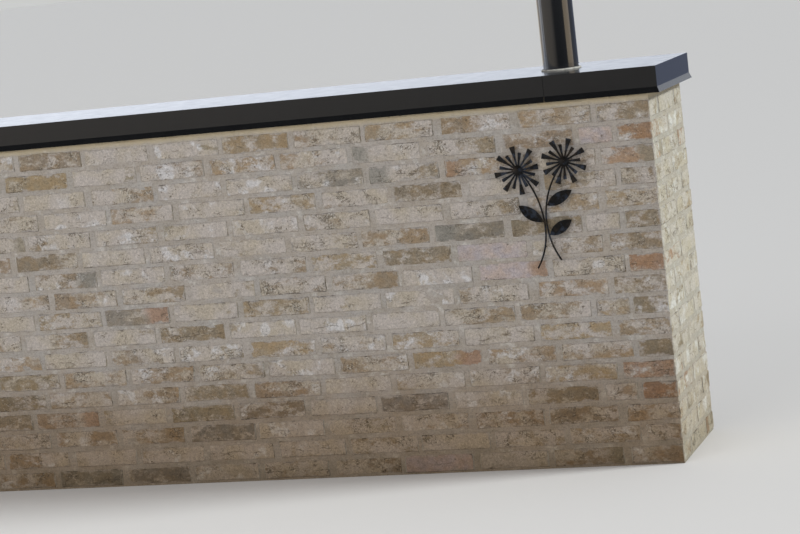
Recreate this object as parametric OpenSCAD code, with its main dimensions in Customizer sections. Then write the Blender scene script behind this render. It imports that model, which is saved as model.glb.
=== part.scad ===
// A free-standing garden wall two bricks thick, under a folded metal coping. Two round canopy
// posts stand in its concrete core and rise through the seams of the coping, and a wrought
// ornament of two flowers hangs on its front face.
// X runs along the wall, the front face looks to -Y, and Z = 0 is the ground. Millimetres.

/* [Brickwork] */
// Length of one brick
brick_l = 210; // [200:1:240]
// Width of one brick
brick_w = 100; // [90:1:110]
// Height of one brick
brick_h = 50; // [40:1:70]
// Thickness of the mortar joints
joint = 10; // [6:1:14]
// Courses from the ground to the top of the wall
courses = 18; // [14:1:26]
// Whole stretchers in the length of the wall
stretchers = 14; // [8:1:24]

/* [Coping] */
// Thickness of the folded sheet
coping_sheet = 2; // [1:0.5:4]
// How far the coping stands out over the front and the back
side_overhang = 6; // [5:1:40]
// How far the coping stands out over the ends of the wall
end_overhang = 28; // [8:1:60]
// Height of the upright fascia, from the top to the drip fold
fascia_h = 57; // [40:1:100]
// Height of the flared drip below the fold
drip_h = 16; // [8:1:30]
// How far the drip flares outwards
drip_flare = 6; // [2:1:15]
// Gap left at each seam for the metal to move
seam_gap = 1; // [0.5:0.5:6]
// Length of the splice plate under each seam
splice_l = 150; // [130:5:240]
// Thickness of the splice plate
splice_sheet = 1.5; // [1:0.5:3]

/* [Bearers under the coping] */
// Height of the hat-shaped bearers
bearer_h = 23; // [15:1:50]
// Width of a bearer over its two flanges
bearer_w = 80; // [60:1:120]
// Width of the raised crown of a bearer
crown_w = 40; // [20:1:50]
// Thickness of the bearer metal
bearer_sheet = 2; // [1:0.5:3]
// Room at each end of a bearer, to the face of the wall
bearer_end = 8; // [2:1:30]

/* [Posts] */
// Outside diameter of the post tube
post_d = 101.6; // [60:0.1:110]
// Wall thickness of the post tube
post_wall = 4; // [2:0.5:8]
// Distance from the end of the wall to the axis of the post
post_inset = 290; // [240:1:500]
// Height of the head plate above the ground
post_top = 2400; // [1800:10:3000]
// Room around the post where it passes through the coping
post_room = 2; // [1:0.5:4]
// Width of the collar of sealant around the post
sealant_w = 7; // [6:1:20]
// Height of the collar of sealant
sealant_h = 5; // [3:1:20]

/* [Post plates] */
// Thickness of the base plates and the head plates
plate_t = 12; // [6:1:25]
// Side of the square base plate
base_plate_w = 150; // [120:1:160]
// Side of the square head plate
head_plate_w = 180; // [160:1:260]
// Corner radius of the plates
plate_corner = 12; // [4:1:25]
// Distance between the bolt holes of the head plate
bolt_spacing = 130; // [115:1:140]
// Diameter of the bolt holes
bolt_hole_d = 14; // [8:1:18]

/* [Stems of the ornament] */
// Distance from the right end of the wall to the line between the two stems
waist_inset = 321.5; // [260:0.5:700]
// Height at which the left stem stands upright, beside the right one
left_upright_z = 682; // [400:1:900]
// Height at which the right stem stands upright
right_upright_z = 705; // [400:1:900]
// Diameter of the stem rods
rod_d = 5; // [4:0.5:8]
// Space between the wall and the rods
standoff = 8; // [5:1:30]
// Bend radius of the left stem above its upright point
left_upper_r = 269; // [200:1:400]
// Turn of the left stem above its upright point, in degrees
left_upper_turn = 39; // [25:0.5:50]
// Bend radius of the left stem below its upright point
left_lower_r = 193; // [150:1:400]
// Turn of the left stem below its upright point, in degrees
left_lower_turn = 34; // [15:0.5:45]
// Bend radius of the right stem above its upright point
right_upper_r = 226; // [200:1:400]
// Turn of the right stem above its upright point, in degrees
right_upper_turn = 45.5; // [30:0.5:50]
// Bend radius of the right stem below its upright point
right_lower_r = 215; // [150:1:400]
// Turn of the right stem below its upright point, in degrees
right_lower_turn = 31.5; // [15:0.5:45]
// Diameter of the pins that hold the ornament to the wall
pin_d = 4; // [3:0.5:6]

/* [Flower heads] */
// Length of the long rays of the left flower, from its centre
long_ray = 68; // [50:1:80]
// Length of the short rays of the left flower, from its centre
short_ray = 52; // [35:1:60]
// Length of the rays of the right flower, as a share of the left one's
right_share = 0.95; // [0.8:0.01:1.1]
// Width of the rays where they leave the hub
ray_neck = 4.5; // [3:0.5:5]
// Width of the long rays at the tip
long_tip = 16; // [8:1:20]
// Width of the short rays at the tip
short_tip = 10; // [6:1:14]
// Where the paddle of a ray begins, as a share of its length
paddle_start = 0.52; // [0.4:0.02:0.7]
// Forward tilt of the short rays, in degrees
short_tilt = 10; // [0:1:20]
// Reach of the one long ray of the left flower that is bent towards the wall
bent_reach = 56; // [48:1:68]
// How far the tip of that ray is bent back
bent_drop = 9; // [3:1:10]
// Twist of the short ray below it, in degrees
twist = 30; // [0:1:45]
// Thickness of the cut sheet
ray_sheet = 2; // [1:0.5:3]
// Diameter of the hub
hub_d = 29; // [20:1:32]
// Height of the domed hub
hub_h = 5; // [3:1:9]
// Diameter of the rivet head in the hub
rivet_d = 8; // [5:1:12]

/* [Leaves] */
// Length of the two long leaves
leaf_l = 83; // [60:1:100]
// Length of the lower leaf
low_leaf_l = 76; // [50:1:90]
// Width of a leaf
leaf_w = 32; // [18:1:36]
// Angle of each half of a leaf to the wall, in degrees
leaf_fold = 16; // [5:1:30]
// Thickness of the leaf sheet
leaf_sheet = 1.5; // [1:0.5:3]

/* [Hidden] */
$fn = 96;

// The wall: quarter bond, a three-quarter bat and then stretchers
wall_l = (stretchers + 1.5) * (brick_l + joint) - joint;
wall_t = 2 * brick_l + joint;
wall_h = courses * (brick_h + joint);
core_t = wall_t - 2 * brick_w;
core_l = wall_l - 2 * brick_w;

// The coping: half width, half length and heights
cope_y = wall_t / 2 + side_overhang;
cope_x = wall_l / 2 + end_overhang;
cope_top = wall_h + bearer_h + coping_sheet;
fold_z = cope_top - fascia_h;
drip_z = fold_z - drip_h;
post_x = wall_l / 2 - post_inset;
hole_r = post_d / 2 + post_room;

// Bearers: one near each end and four spaced evenly between the posts
end_bearer_x = wall_l / 2 - bearer_w;
inner_bearer_x = post_x - splice_l / 2 - bearer_w / 2;
bearer_x = [-end_bearer_x, -inner_bearer_x, -inner_bearer_x / 3,
            inner_bearer_x / 3, inner_bearer_x, end_bearer_x];

// The ornament lies in the plane of the front face: x from the right end, y up, z out
touch = 0.1;                       // clearance between pieces that seat on each other
bead_r = rod_d / 2 + 0.1;          // weld bead where the two bends of a stem meet
stem_gap = bead_r + touch / 2;     // from the line between the stems to the axis of each
rod_z = standoff + rod_d / 2;
ray_z = standoff + rod_d + touch;
rays = 8;
ray_step = 360 / rays;
left_flower = stem_point(-1, left_upper_r, left_upper_turn);
right_flower = stem_point(1, right_upper_r, right_upper_turn);
left_turn = 7;                     // turn of each flower about its hub, in degrees
right_turn = 25.5;
crowd = 2;                         // how far hand-set rays crowd to one side, in degrees
crowd_side = 20;                   // side that they crowd to
bend_at = 0.66;                    // place of the bend of the bent ray, as a share of its reach
draw_thin = 0.1;                   // by which each side of that ray was drawn thinner
upper_leaf_turn = 10.5;            // place of each leaf along its stem, in degrees
side_leaf_turn = 4;
lower_leaf_turn = -11;
upper_leaf_lean = 27;              // direction that each leaf points in, in degrees
side_leaf_lean = 143;
lower_leaf_lean = 30;
pin_turn = 30;                     // place of the upper pins along the stems, in degrees
over = 1;                          // length by which a cut runs past a face

// Point on the axis of a stem, at a turn from its upright point: upwards if positive
function upright_z(side) = side < 0 ? left_upright_z : right_upright_z;
function stem_point(side, radius, turn) =
    [-waist_inset + side * (stem_gap + radius * (1 - cos(turn))),
     upright_z(side) + radius * sin(turn)];

// Cross-section of the coping, offset inwards by inset and carried on below the drip
function coping_outline(half, inset, below = 0) =
    let (run = drip_flare * (1 + below / drip_h))
    [[-half - run + inset, drip_z - below], [-half + inset, fold_z],
     [-half + inset, cope_top - inset], [half - inset, cope_top - inset],
     [half - inset, fold_z], [half + run - inset, drip_z - below]];

// Outline of half a hat-shaped bearer, from the flange to the crown
function hat_half(side) =
    [[side * crown_w / 2, bearer_h], [side * crown_w / 2, bearer_sheet],
     [side * bearer_w / 2, bearer_sheet], [side * bearer_w / 2, 0],
     [side * (crown_w / 2 - bearer_sheet), 0],
     [side * (crown_w / 2 - bearer_sheet), bearer_h - bearer_sheet]];

// A ray that runs narrow from the hub and then widens to its tip
function ray_edge(side, length, tip) =
    [[0, side * ray_neck / 2], [length * paddle_start, side * (ray_neck / 2 + 0.5)],
     [length - 1, side * tip / 2], [length, side * (tip / 2 - 1.5)]];
function turned_back(points) = [for (i = [len(points) - 1:-1:0]) points[i]];

module along_x(length) {
    rotate([90, 0, 90]) linear_extrude(length, center = true) children();
}

module along_y(length) {
    rotate([90, 0, 0]) linear_extrude(length, center = true) children();
}

module on_face() {
    translate([wall_l / 2, -wall_t / 2, 0]) rotate([90, 0, 0]) children();
}

// Brickwork: the facing on each side of the core

module facing(size, x, y) {
    color("#a08c70") translate([x, y, wall_h / 2]) cube([size[0], size[1], wall_h], center = true);
}

module front_brickwork() { facing([wall_l, brick_w], 0, -(wall_t - brick_w) / 2); }
module back_brickwork() { facing([wall_l, brick_w], 0, (wall_t - brick_w) / 2); }
module right_end_brickwork() { facing([brick_w, core_t], (wall_l - brick_w) / 2, 0); }
module left_end_brickwork() { facing([brick_w, core_t], -(wall_l - brick_w) / 2, 0); }

module core_fill() {
    color("#8f8b84") difference() {
        translate([0, 0, wall_h / 2]) cube([core_l, core_t, wall_h], center = true);
        for (x = [-post_x, post_x]) translate([x, 0, -over]) {
            cylinder(r = post_d / 2 + touch, h = wall_h + 2 * over);
            translate([0, 0, (plate_t + touch + over) / 2])
                cube([base_plate_w + 2 * touch, base_plate_w + 2 * touch, plate_t + touch + over],
                     center = true);
        }
    }
}

// Coping: a folded cap whose side and end fascias meet in mitred corners

module coping_block(inset, below = 0) {
    intersection() {
        along_x(2 * (cope_x + drip_flare + over)) polygon(coping_outline(cope_y, inset, below));
        along_y(2 * (cope_y + drip_flare + over)) polygon(coping_outline(cope_x, inset, below));
    }
}

module coping(from_x, to_x) {
    color("#2d2d30") difference() {
        intersection() {
            difference() {
                coping_block(0);
                coping_block(coping_sheet, over);
            }
            translate([(from_x + to_x) / 2, 0, cope_top / 2])
                cube([to_x - from_x, 4 * cope_y, 2 * cope_top], center = true);
        }
        for (x = [-post_x, post_x]) translate([x, 0, drip_z]) cylinder(r = hole_r, h = cope_top);
    }
}

module coping_length() { coping(-post_x + seam_gap / 2, post_x - seam_gap / 2); }
module right_coping_end() { coping(post_x + seam_gap / 2, cope_x + drip_flare + over); }
module left_coping_end() { coping(-cope_x - drip_flare - over, -post_x - seam_gap / 2); }

module splice_plate(x) {
    inner = coping_sheet + splice_sheet;
    color("#55565a") translate([x, 0, 0]) difference() {
        intersection() {
            along_x(splice_l) difference() {
                polygon(coping_outline(cope_y, coping_sheet));
                polygon(coping_outline(cope_y, inner, over));
            }
            translate([0, 0, fold_z + cope_top / 2])
                cube([2 * splice_l, 4 * cope_y, cope_top], center = true);
        }
        translate([0, 0, drip_z]) cylinder(r = hole_r, h = cope_top);
    }
}

module right_splice_plate() { splice_plate(post_x); }
module left_splice_plate() { splice_plate(-post_x); }

module bearer(i) {
    color("#9a9da1") translate([bearer_x[i - 1], 0, wall_h])
        along_y(wall_t - 2 * bearer_end)
            polygon(concat(hat_half(1), turned_back(hat_half(-1))));
}

// Posts: a tube between two plates, with a collar of sealant where it leaves the coping

module rounded_plate(width) {
    inner = width - 2 * plate_corner;
    linear_extrude(plate_t) union() {
        square([width, inner], center = true);
        square([inner, width], center = true);
        for (x = [-1, 1], y = [-1, 1]) translate([x, y] * inner / 2) circle(plate_corner);
    }
}

module post_tube(x) {
    color("#34363a") translate([x, 0, plate_t]) difference() {
        cylinder(d = post_d, h = post_top - 2 * plate_t);
        translate([0, 0, -over])
            cylinder(d = post_d - 2 * post_wall, h = post_top - 2 * plate_t + 2 * over);
    }
}

module base_plate(x) {
    color("#34363a") translate([x, 0, 0]) rounded_plate(base_plate_w);
}

module head_plate(x) {
    color("#34363a") translate([x, 0, post_top - plate_t]) difference() {
        rounded_plate(head_plate_w);
        for (i = [-1, 1], j = [-1, 1]) translate([i * bolt_spacing / 2, j * bolt_spacing / 2, -over])
            cylinder(d = bolt_hole_d, h = plate_t + 2 * over);
    }
}

module sealant(x) {
    inner_r = post_d / 2 + touch;
    color("#b4ada0") translate([x, 0, cope_top]) rotate_extrude()
        polygon([[inner_r, 0], [inner_r + sealant_w, 0], [inner_r + sealant_w * 0.4, sealant_h * 0.4],
                 [inner_r, sealant_h]]);
}

module right_post_tube() { post_tube(post_x); }
module left_post_tube() { post_tube(-post_x); }
module right_base_plate() { base_plate(post_x); }
module left_base_plate() { base_plate(-post_x); }
module right_head_plate() { head_plate(post_x); }
module left_head_plate() { head_plate(-post_x); }
module right_sealant() { sealant(post_x); }
module left_sealant() { sealant(-post_x); }

// Ornament: two bent rods that meet at the waist, with leaves and flowers of cut sheet

module rod_bend(radius, start, turn) {
    translate([stem_gap + radius, 0, 0]) rotate(start) rotate_extrude(angle = turn)
        translate([radius, 0]) circle(d = rod_d, $fn = 24);
}

module stem(side, upper_r, upper_turn, lower_r, lower_turn) {
    color("#262321") on_face() translate([-waist_inset, upright_z(side), rod_z])
        mirror([side < 0 ? 1 : 0, 0, 0]) {
            rod_bend(upper_r, 180 - upper_turn, upper_turn);
            rod_bend(lower_r, 180, lower_turn);
            translate([stem_gap, 0, 0]) sphere(bead_r, $fn = 32);
        }
}

module left_stem() { stem(-1, left_upper_r, left_upper_turn, left_lower_r, left_lower_turn); }
module right_stem() { stem(1, right_upper_r, right_upper_turn, right_lower_r, right_lower_turn); }

// A leaf from its base at the origin: its outline of two arcs, cut from a strip with a fold
module folded_leaf(length) {
    edge_r = (length * length + leaf_w * leaf_w) / (4 * leaf_w);
    rise = leaf_w * tan(leaf_fold);
    thick = leaf_sheet / cos(leaf_fold);
    intersection() {
        translate([0, 0, -over]) linear_extrude(rise + thick + 2 * over) intersection() {
            translate([length / 2, edge_r - leaf_w / 2]) circle(edge_r, $fn = 180);
            translate([length / 2, leaf_w / 2 - edge_r]) circle(edge_r, $fn = 180);
        }
        translate([length / 2, 0, 0]) along_x(length + 2 * over)
            polygon([[-leaf_w, rise], [0, 0], [leaf_w, rise],
                     [leaf_w, rise + thick], [0, thick], [-leaf_w, rise + thick]]);
    }
}

// A leaf seated on the side of its stem, its base at a turn along the stem
module leaf(side, radius, turn, lean, length) {
    at = stem_point(side, radius, turn);
    seat = (rod_d / 2 + touch) / sin(abs(90 - side * turn - lean));
    color("#262321") on_face() translate([at[0], at[1], rod_z]) rotate(lean)
        translate([seat, 0, 0]) folded_leaf(length);
}

module upper_leaf() { leaf(1, right_upper_r, upper_leaf_turn, upper_leaf_lean, leaf_l); }
module side_leaf() { leaf(-1, left_upper_r, side_leaf_turn, side_leaf_lean, leaf_l); }
module lower_leaf() { leaf(1, right_lower_r, lower_leaf_turn, lower_leaf_lean, low_leaf_l); }

module ray(length, tip) {
    polygon(concat(ray_edge(-1, length, tip), turned_back(ray_edge(1, length, tip))));
}

// The part of a ray between two distances from the centre
module ray_part(length, tip, from_x, to_x) {
    intersection() {
        ray(length, tip);
        translate([from_x, -tip]) square([to_x - from_x, 2 * tip]);
    }
}

// Direction of ray k of a flower: hand-set rays crowd a little to one side
function ray_turn(k, first) = let (a = first + k * ray_step) a + crowd * sin(a - crowd_side);

// A long ray that reaches less far because its tip is bent back
module bent_ray(reach, drop) {
    bend_x = reach * bend_at;
    slope = drop / (reach - bend_x);
    end_z = -slope * (reach - bend_x + over);
    top_z = ray_sheet - draw_thin;
    intersection() {
        translate([0, 0, 2 * end_z]) linear_extrude(2 * (ray_sheet - end_z)) ray(reach, long_tip);
        rotate([90, 0, 0]) linear_extrude(2 * long_tip, center = true)
            polygon([[-over, draw_thin], [bend_x, draw_thin], [reach + over, draw_thin + end_z],
                     [reach + over, top_z + end_z], [bend_x, top_z], [-over, top_z]]);
    }
}

// The back disc of a flower: long rays, flat with the hub. The first one may be bent
module long_rays(at, first, length, reach = 0) {
    color("#262321") on_face() translate([at[0], at[1], ray_z]) {
        linear_extrude(ray_sheet) {
            circle(d = hub_d);
            for (k = [reach > 0 ? 1 : 0:rays - 1]) rotate(ray_turn(k, first)) ray(length, long_tip);
        }
        if (reach > 0) rotate(ray_turn(0, first)) bent_ray(reach, bent_drop);
    }
}

// The front disc: short rays between the long ones, bent forward at the edge of the hub. The
// last one may be twisted too
module short_rays(at, first, length, twisted = 0) {
    bend_x = hub_d / 2 - ray_sheet;
    color("#262321") on_face() translate([at[0], at[1], ray_z + ray_sheet]) {
        cylinder(d = hub_d, h = ray_sheet);
        for (k = [0:rays - 1])
            rotate(ray_turn(k + 0.5, first)) translate([bend_x, 0, 0]) rotate([0, -short_tilt, 0])
                rotate([k == rays - 1 ? -twisted : 0, 0, 0]) translate([-bend_x, 0, 0])
                    linear_extrude(ray_sheet) ray_part(length, short_tip, bend_x, length);
    }
}

module hub(at) {
    dome_r = (hub_d * hub_d / 4 + hub_h * hub_h) / (2 * hub_h);
    color("#262321") on_face() translate([at[0], at[1], ray_z + 2 * ray_sheet]) {
        intersection() {
            translate([0, 0, hub_h - dome_r]) sphere(dome_r);
            cylinder(d = hub_d, h = hub_h);
        }
        cylinder(d = rivet_d, h = hub_h + 1);
    }
}

module left_long_rays() { long_rays(left_flower, left_turn, long_ray, bent_reach); }
module left_short_rays() { short_rays(left_flower, left_turn, short_ray, twist); }
module left_hub() { hub(left_flower); }
module right_long_rays() { long_rays(right_flower, right_turn, long_ray * right_share); }
module right_short_rays() { short_rays(right_flower, right_turn, short_ray * right_share); }
module right_hub() { hub(right_flower); }

// One pin behind the upper half of each stem, and one behind the foot of the left stem
module wall_pins() {
    color("#262321") on_face()
        for (at = [stem_point(-1, left_upper_r, pin_turn), stem_point(1, right_upper_r, pin_turn),
                   stem_point(-1, left_lower_r, -pin_turn / 2)])
            translate([at[0], at[1], 0]) cylinder(d = pin_d, h = standoff);
}

front_brickwork();
back_brickwork();
right_end_brickwork();
left_end_brickwork();
core_fill();
coping_length();
right_coping_end();
left_coping_end();
right_splice_plate();
left_splice_plate();
bearer(1);  // bearer_1
bearer(2);  // bearer_2
bearer(3);  // bearer_3
bearer(4);  // bearer_4
bearer(5);  // bearer_5
bearer(6);  // bearer_6
right_post_tube();
left_post_tube();
right_base_plate();
left_base_plate();
right_head_plate();
left_head_plate();
right_sealant();
left_sealant();
left_stem();
right_stem();
upper_leaf();
side_leaf();
lower_leaf();
left_long_rays();
left_short_rays();
left_hub();
right_long_rays();
right_short_rays();
right_hub();
wall_pins();
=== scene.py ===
# Garden wall of hand-moulded brick with a folded metal coping, two canopy posts
# and a wrought flower ornament.
import math
import random
import bpy
from mathutils import Matrix, Vector


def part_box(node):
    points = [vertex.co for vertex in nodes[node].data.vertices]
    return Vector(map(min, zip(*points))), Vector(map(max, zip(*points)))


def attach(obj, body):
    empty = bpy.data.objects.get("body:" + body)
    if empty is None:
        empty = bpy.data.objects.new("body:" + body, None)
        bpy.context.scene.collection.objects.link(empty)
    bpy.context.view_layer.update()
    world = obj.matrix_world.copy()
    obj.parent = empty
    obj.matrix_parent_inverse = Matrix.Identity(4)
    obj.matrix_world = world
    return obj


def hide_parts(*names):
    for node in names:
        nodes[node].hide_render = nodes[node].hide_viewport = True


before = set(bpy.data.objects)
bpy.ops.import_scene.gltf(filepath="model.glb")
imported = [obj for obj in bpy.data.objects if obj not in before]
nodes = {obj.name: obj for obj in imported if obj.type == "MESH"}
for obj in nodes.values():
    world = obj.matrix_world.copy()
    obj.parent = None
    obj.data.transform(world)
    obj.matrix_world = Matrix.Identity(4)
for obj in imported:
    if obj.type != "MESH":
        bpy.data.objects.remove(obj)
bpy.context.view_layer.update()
mm = 0.001
print("frame loaded:", len(nodes), "nodes")


def linear(hexColour):
    channels = [int(hexColour[i:i + 2], 16) / 255 for i in (1, 3, 5)]
    return [c / 12.92 if c <= 0.04045 else ((c + 0.055) / 1.055) ** 2.4 for c in channels] + [1.0]


def addNode(tree, kind, inputs=None, **settings):
    made = tree.nodes.new("ShaderNode" + kind)
    for name, value in settings.items():
        setattr(made, name, value)
    for name, value in (inputs or {}).items():
        if isinstance(value, bpy.types.Node):
            value = value.outputs[0]
        if isinstance(value, bpy.types.NodeSocket):
            tree.links.new(value, made.inputs[name])
        else:
            made.inputs[name].default_value = value
    return made


# an empty material, its tree, and the place on the piece that its patterns follow
def newMaterial(name):
    material = bpy.data.materials.new(name)
    material.use_nodes = True
    tree = material.node_tree
    tree.nodes.clear()
    return material, tree, addNode(tree, "TexCoord").outputs["Object"]


def deselectAll():
    if bpy.context.object and bpy.context.object.mode != "OBJECT":
        bpy.ops.object.mode_set(mode="OBJECT")
    bpy.ops.object.select_all(action="DESELECT")


def pick(piece):
    deselectAll()
    piece.select_set(True)
    bpy.context.view_layer.objects.active = piece


def selectParts(piece, parts, wanted):
    mesh = piece.data
    for group in (mesh.vertices, mesh.edges, mesh.polygons):
        group.foreach_set("select", [False] * len(group))
    for part in getattr(mesh, parts):
        part.select = bool(wanted(part))


# cuts every edge that runs along an axis and is longer than shortest, in mm
def cutAlong(piece, axis, cuts, shortest=0):
    def runs(edge):
        a, b = (piece.data.vertices[i].co for i in edge.vertices)
        run = b - a
        return abs(run[axis]) > 0.9 * run.length and run.length > shortest * mm

    selectParts(piece, "edges", runs)
    bpy.ops.object.mode_set(mode="EDIT")
    bpy.ops.mesh.select_mode(type="EDGE")
    bpy.ops.mesh.subdivide(number_cuts=cuts)
    bpy.ops.object.mode_set(mode="OBJECT")


camera = {
    "place": (3.1642, -6.7906, 1.5276),   # worked out from the brick joints in the photo
    "target": (0.9364, -0.215, 0.6033),   # the point of the front face in the middle of the frame
    "rollDegrees": 6.57,                  # the photo is tilted
    "lens": 111.13,
    "sensorWidth": 36,
    "farLimit": 400,                      # in metres, past the edge of the floor
}


def placeCamera():
    data = bpy.data.cameras.new("photoCamera")
    data.lens = camera["lens"]
    data.sensor_width = camera["sensorWidth"]
    data.clip_end = camera["farLimit"]
    made = bpy.data.objects.new("photoCamera", data)
    bpy.context.scene.collection.objects.link(made)
    place, target = Vector(camera["place"]), Vector(camera["target"])
    turn = (target - place).to_track_quat("-Z", "Y").to_matrix()
    roll = Matrix.Rotation(math.radians(-camera["rollDegrees"]), 3, "Z")
    made.matrix_world = Matrix.Translation(place) @ (turn @ roll).to_4x4()
    bpy.context.scene.camera = made


studio = {
    "floorSize": 240.0,
    "floorColour": "#d6d1cb",
    # the floor as metal shows it: on the right, far on the left, and behind on the right
    "floorInMetal": ("#505154", "#ffedd8", "#747b94"),
    "backdropColour": "#cbcccb",  # as the camera sees it, the tone of the lit floor far away
    "wallLight": "#eff3fa",
    "fillLevel": 0.56,        # what the soft surroundings give to every side
    "mirrorLevel": 1.6,       # the bright surroundings, as metal shows them
    "mirrorFront": 0.50,      # share of that in front of the wall
    "mirrorSides": (1.15, 0.50),   # and on the left and the right
    "mirrorHigh": "#a8b4cc",  # and their colour higher up
    "ceilingLevel": 0.04,     # the unlit ceiling, which only metal shows
    # colour, power, place and target of each lamp, and the width and height of its panel
    "overhead": ("#f4f7fb", 114, (-1.0, -5.2, 3.4), (0, -0.2, 0.6), (5.0, 3.0)),
    "key": ("#eef6fc", 3.0, (6, 1.0, 4.0), (0, 0, 0.4)),
    "keySpread": 14,          # the angle that the key light fills, in degrees
    # two panels that only metal shows
    "leftPanel": ("#dfe8f7", 40, (-4.2, 0.6, 1.5), (1.4, 0, 1.4), (3.2, 2.8)),
    "rightPanel": ("#f6dfbd", 80, (6.8, -0.4, 1.5), (1.4, 0, 1.4), (4.2, 2.8)),
}


def addLamp(name, kind, colour, power, place, target, size=None):
    data = bpy.data.lights.new(name, kind)
    data.energy, data.color = power, linear(colour)[:3]
    if size:
        data.shape = "RECTANGLE"
        data.size, data.size_y = size
    made = bpy.data.objects.new(name, data)
    bpy.context.scene.collection.objects.link(made)
    made.location = place
    made.rotation_mode = "QUATERNION"
    made.rotation_quaternion = (Vector(target) - Vector(place)).to_track_quat("-Z", "Y")
    made.visible_camera = False
    return made


def layFloor():
    deselectAll()
    bpy.ops.mesh.primitive_plane_add(size=studio["floorSize"], location=(0, 0, 0))
    floor = bpy.context.object
    floor.name = "studioFloor"
    material, tree, place = newMaterial("pale painted floor")
    path = addNode(tree, "LightPath")
    spot = addNode(tree, "SeparateXYZ", {0: place})
    # tones that only metal sees, each in its own part of the floor, in metres from the wall's middle
    near, far, behind = (linear(tone) for tone in studio["floorInMetal"])
    farAt = addNode(tree, "MapRange", {"Value": spot.outputs["X"], "From Min": 2.0, "From Max": -9.0})
    backAt = addNode(tree, "MapRange", {"Value": spot.outputs["Y"], "From Min": 0.0, "From Max": 4.0})
    rightAt = addNode(tree, "MapRange", {"Value": spot.outputs["X"], "From Min": 0.0, "From Max": 3.0})
    behindAt = addNode(tree, "Math", {0: backAt, 1: rightAt}, operation="MULTIPLY")
    ahead = addNode(tree, "Mix", {0: farAt, 6: near, 7: far}, data_type="RGBA")
    inMetal = addNode(tree, "Mix", {0: behindAt, 6: ahead.outputs[2], 7: behind}, data_type="RGBA")
    colour = addNode(tree, "Mix", {0: path.outputs["Is Glossy Ray"], 6: linear(studio["floorColour"]),
                                   7: inMetal.outputs[2]}, data_type="RGBA")
    paint = addNode(tree, "BsdfPrincipled", {"Base Color": colour.outputs[2], "Roughness": 0.85})
    addNode(tree, "OutputMaterial", {"Surface": paint})
    floor.data.materials.append(material)


def lightSurroundings():
    world = bpy.data.worlds.new("studioLight")
    bpy.context.scene.world = world
    world.use_nodes = True
    tree = world.node_tree
    tree.nodes.clear()
    path = addNode(tree, "LightPath")
    direction = addNode(tree, "SeparateXYZ", {0: addNode(tree, "TexCoord").outputs["Generated"]})
    # metal mirrors a bright band near the horizon, which is weaker in front and on the right
    mirrored = addNode(tree, "MapRange", {
        "Value": direction.outputs["Z"], "From Min": 0.12, "From Max": 0.34,
        "To Min": studio["mirrorLevel"], "To Max": studio["ceilingLevel"]}, interpolation_type="SMOOTHSTEP")
    frontShare = addNode(tree, "MapRange", {
        "Value": direction.outputs["Y"], "From Min": -0.1, "From Max": -0.6, "To Min": 1.0,
        "To Max": studio["mirrorFront"]})
    leftShare, rightShare = studio["mirrorSides"]
    sideShare = addNode(tree, "MapRange", {
        "Value": direction.outputs["X"], "From Min": -0.45, "From Max": 0.2, "To Min": leftShare,
        "To Max": rightShare})
    share = addNode(tree, "Math", {0: frontShare, 1: sideShare}, operation="MULTIPLY")
    inMirror = addNode(tree, "Math", {0: mirrored, 1: share}, operation="MULTIPLY")
    glossy = addNode(tree, "Mix", {0: path.outputs["Is Glossy Ray"], 2: studio["fillLevel"], 3: inMirror})
    level = addNode(tree, "Mix", {0: path.outputs["Is Camera Ray"], 2: glossy, 3: 1.0})
    highAt = addNode(tree, "MapRange", {"Value": direction.outputs["Z"], "From Min": 0.065,
                                        "From Max": 0.13})
    tintAt = addNode(tree, "Math", {0: highAt, 1: path.outputs["Is Glossy Ray"]}, operation="MULTIPLY")
    tint = addNode(tree, "Mix", {0: tintAt, 6: linear(studio["wallLight"]),
                                 7: linear(studio["mirrorHigh"])}, data_type="RGBA")
    colour = addNode(tree, "Mix", {0: path.outputs["Is Camera Ray"], 6: tint.outputs[2],
                                   7: linear(studio["backdropColour"])}, data_type="RGBA")
    background = addNode(tree, "Background", {"Color": colour.outputs[2], "Strength": level})
    addNode(tree, "OutputWorld", {"Surface": background})


def hangLamps():
    overhead = addLamp("overheadSoftbox", "AREA", *studio["overhead"])
    overhead.visible_glossy = False      # it would lie as a pale bar across the dark metal
    key = addLamp("keySoftbox", "SUN", *studio["key"])
    key.data.angle = math.radians(studio["keySpread"])
    for name in ("leftPanel", "rightPanel"):
        panel = addLamp(name, "AREA", *studio[name])
        panel.visible_diffuse = False


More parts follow.
